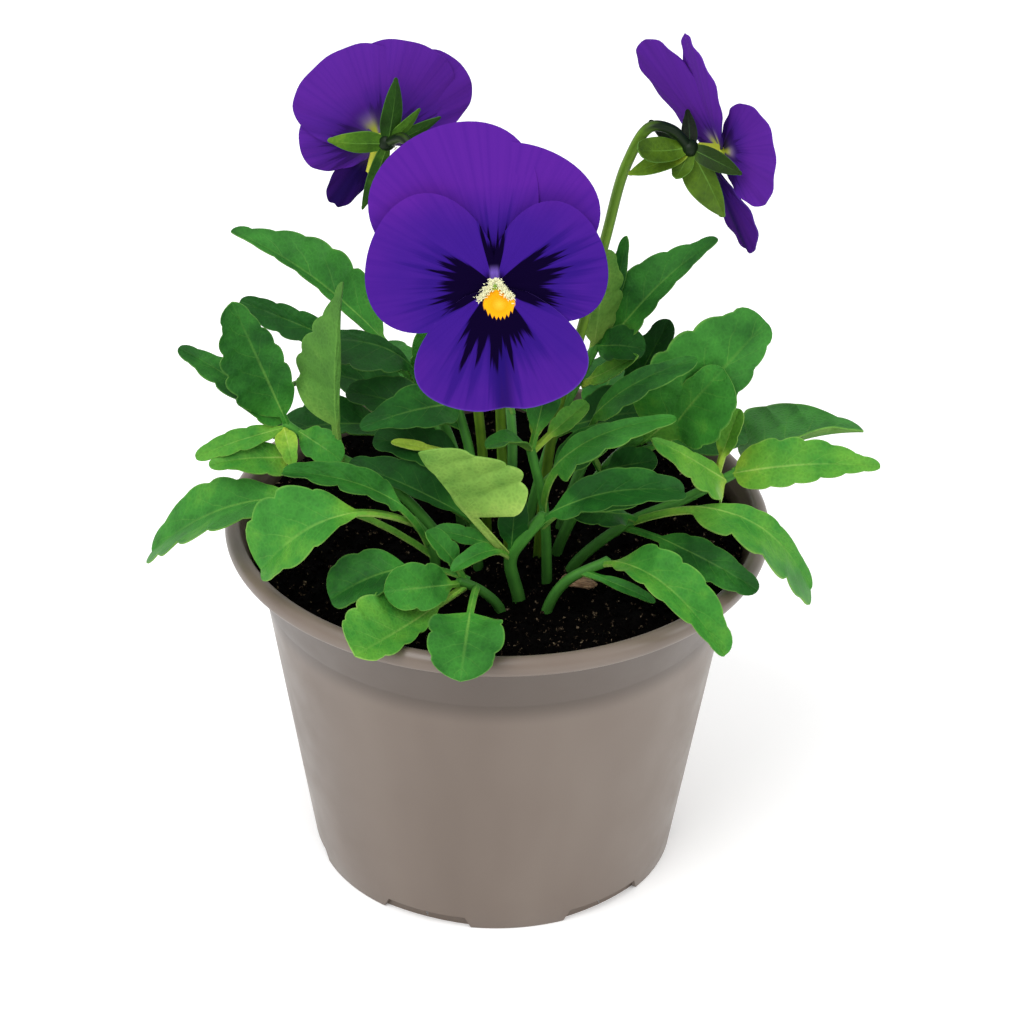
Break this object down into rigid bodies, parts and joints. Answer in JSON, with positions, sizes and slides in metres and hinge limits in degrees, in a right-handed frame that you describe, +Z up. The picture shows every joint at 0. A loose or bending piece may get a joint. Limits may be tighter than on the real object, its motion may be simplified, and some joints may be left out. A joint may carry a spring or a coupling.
{
  "type": "potted pansy",
  "caption": "Bushy pansy plant with violet blooms on hooked stalks, growing in a round tapered plastic pot full of soil.",
  "frame": {"origin": "on the surface the foot stands on, under the middle of the whole planter's box; the pot's axis stands 3.3 mm to -X and 3.4 mm to +Y of it", "axes": "+Z up along the pot's axis; -Y is the front, towards which the front bloom looks; +X is to the right of that view"},
  "size_m": [0.1584, 0.1268, 0.1988],
  "materials": {
    "pot_plastic": "satin taupe",
    "potting_soil": "moist dark compost",
    "bark": "rough",
    "leaf": "satin green leaf",
    "flower_stalk": "satin green stem",
    "petal": "velvety violet"
  },
  "bodies": {
    "root": {"pot": "pot_plastic", "soil": "potting_soil", "bark_chip": "bark", "left_shoot": "leaf", "low_left_shoot": "leaf", "front_left_shoot": "leaf", "front_shoot": "leaf", "centre_shoot": "leaf", "inner_left_shoot": "leaf", "right_shoot": "leaf", "front_right_shoot": "leaf", "back_right_shoot": "leaf", "back_shoot": "leaf", "back_left_shoot": "leaf", "rear_left_shoot": "leaf", "rear_shoot": "leaf", "rear_right_shoot": "leaf", "front_bloom_stalk": "flower_stalk", "front_bloom_petals": "petal", "left_bloom_stalk": "flower_stalk", "left_bloom_petals": "petal", "right_bloom_stalk": "flower_stalk", "right_bloom_petals": "petal"}
  },
  "joints": []
}
